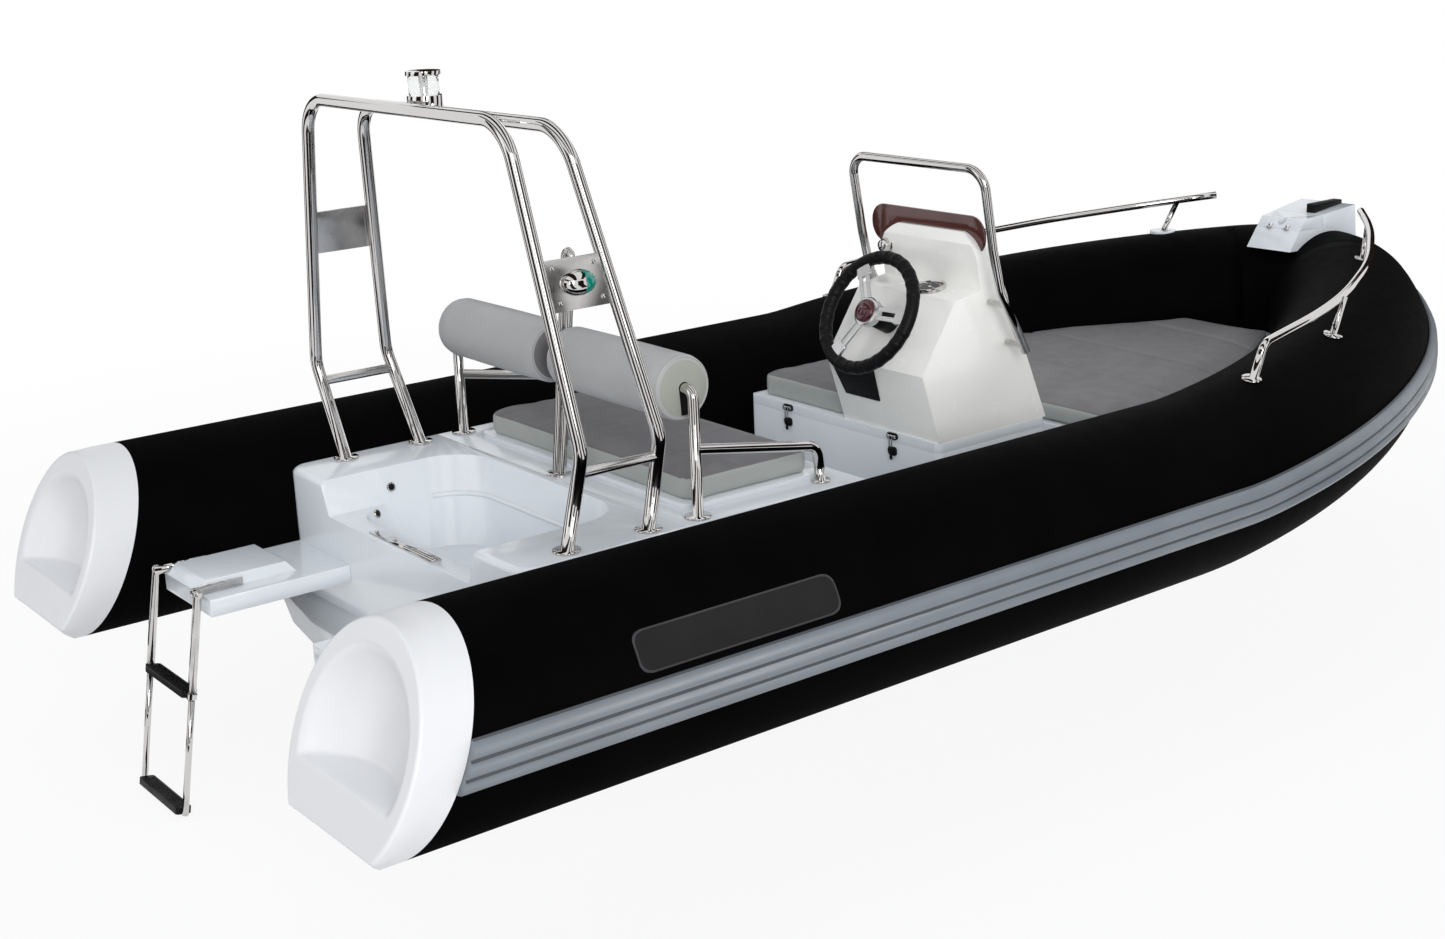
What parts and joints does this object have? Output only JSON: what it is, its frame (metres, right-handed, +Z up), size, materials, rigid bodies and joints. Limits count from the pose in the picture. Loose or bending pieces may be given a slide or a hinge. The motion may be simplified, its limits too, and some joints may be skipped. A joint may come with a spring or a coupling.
{
  "type": "rigid inflatable boat",
  "caption": "Rigid inflatable boat with a tilting steering console, aft seat with backrest rolls, light arch, motor well and a folding boarding ladder, held afloat at its waterline.",
  "frame": {"origin": "on the waterline, on the centreline at the transom's outer face", "axes": "+X to the bow, +Y to port, +Z up"},
  "size_m": [4.6343, 2.2738, 1.8542],
  "materials": {
    "tube_black": "satin coated fabric",
    "strake_grey": "satin ribbed rubber",
    "gelcoat_white": "gloss gelcoat",
    "vinyl_grey": "matt vinyl",
    "roll_grey": "matt vinyl",
    "stainless": "polished stainless steel",
    "black_plastic": "moulded plastic",
    "visor_brown": "dark tinted acrylic",
    "lens_clear": "clear lens",
    "lens_green": "green lens",
    "lens_red": "red lens"
  },
  "bodies": {
    "boat": {"anchor_roller": "black_plastic", "arch_aft": "stainless", "arch_braces": "stainless", "arch_fore": "stainless", "arch_top_plate": "stainless", "backrest_frame_port": "stainless", "backrest_frame_starboard": "stainless", "backrest_roll_port": "roll_grey", "backrest_roll_starboard": "roll_grey", "bow_cushion": "vinyl_grey", "bow_deck": "gelcoat_white", "bow_eye": "stainless", "bow_step": "gelcoat_white", "console_locker": "gelcoat_white", "end_cap_port": "gelcoat_white", "end_cap_starboard": "gelcoat_white", "hull": "gelcoat_white", "ladder_brackets": "stainless", "latch_keepers": "black_plastic", "mast_lamp": "stainless", "mast_lamp_lens": "lens_clear", "nav_lamp_port": "stainless", "nav_lamp_starboard": "stainless", "nav_lens_port": "lens_red", "nav_lens_starboard": "lens_green", "platform_port": "gelcoat_white", "platform_starboard": "gelcoat_white", "rail_pad": "gelcoat_white", "rub_strake": "strake_grey", "seat_base": "gelcoat_white", "side_rail_port": "stainless", "side_rail_starboard": "stainless", "stern_deck": "gelcoat_white", "tow_post": "stainless", "tube_bow": "tube_black", "tube_port": "tube_black", "tube_starboard": "tube_black", "well_fittings": "stainless"},
    "wheel": {"steering_rim": "black_plastic", "steering_hub": "stainless"},
    "console": {"console_lid": "gelcoat_white", "console_shell": "gelcoat_white", "console_cushion": "vinyl_grey", "lid_latches": "black_plastic", "grab_hoop": "stainless", "windscreen": "visor_brown", "steering_column": "black_plastic", "switch_panel": "black_plastic", "console_dials": "black_plastic"},
    "seat": {"seat_lid": "gelcoat_white", "seat_cushion": "vinyl_grey"},
    "ladder": {"ladder_upper": "stainless", "ladder_tread_upper": "black_plastic"},
    "ladder_end": {"ladder_lower": "stainless", "ladder_tread_lower": "black_plastic"},
    "bow_lid": {"bow_step_lid": "gelcoat_white", "bow_step_hinges": "stainless"}
  },
  "joints": [
    {"name": "console_tilt", "type": "hinge", "parent": "boat", "child": "console", "pos_m": [1.94, 0, 0.395], "axis": [0, 1, 0], "range_deg": [0, 60]},
    {"name": "steering", "type": "hinge", "parent": "console", "child": "wheel", "pos_m": [1.445, -0.2055, 0.779], "axis": [-0.8829, 0, 0.4695], "range_deg": [-540, 540]},
    {"name": "seat_lid", "type": "hinge", "parent": "boat", "child": "seat", "pos_m": [0.572, 0, 0.456], "axis": [0, -1, 0], "range_deg": [0, 22]},
    {"name": "ladder_fold", "type": "hinge", "parent": "boat", "child": "ladder", "pos_m": [-0.389, 0.438, 0.266], "axis": [0, 1, 0], "range_deg": [0, 210]},
    {"name": "ladder_slide", "type": "slide", "parent": "ladder", "child": "ladder_end", "axis": [0.1736, 0, 0.9848], "range_m": [0, 0.2]},
    {"name": "bow_lid", "type": "hinge", "parent": "boat", "child": "bow_lid", "pos_m": [3.5676, 0, 0.72472], "axis": [0, -1, 0], "range_deg": [0, 100]}
  ]
}
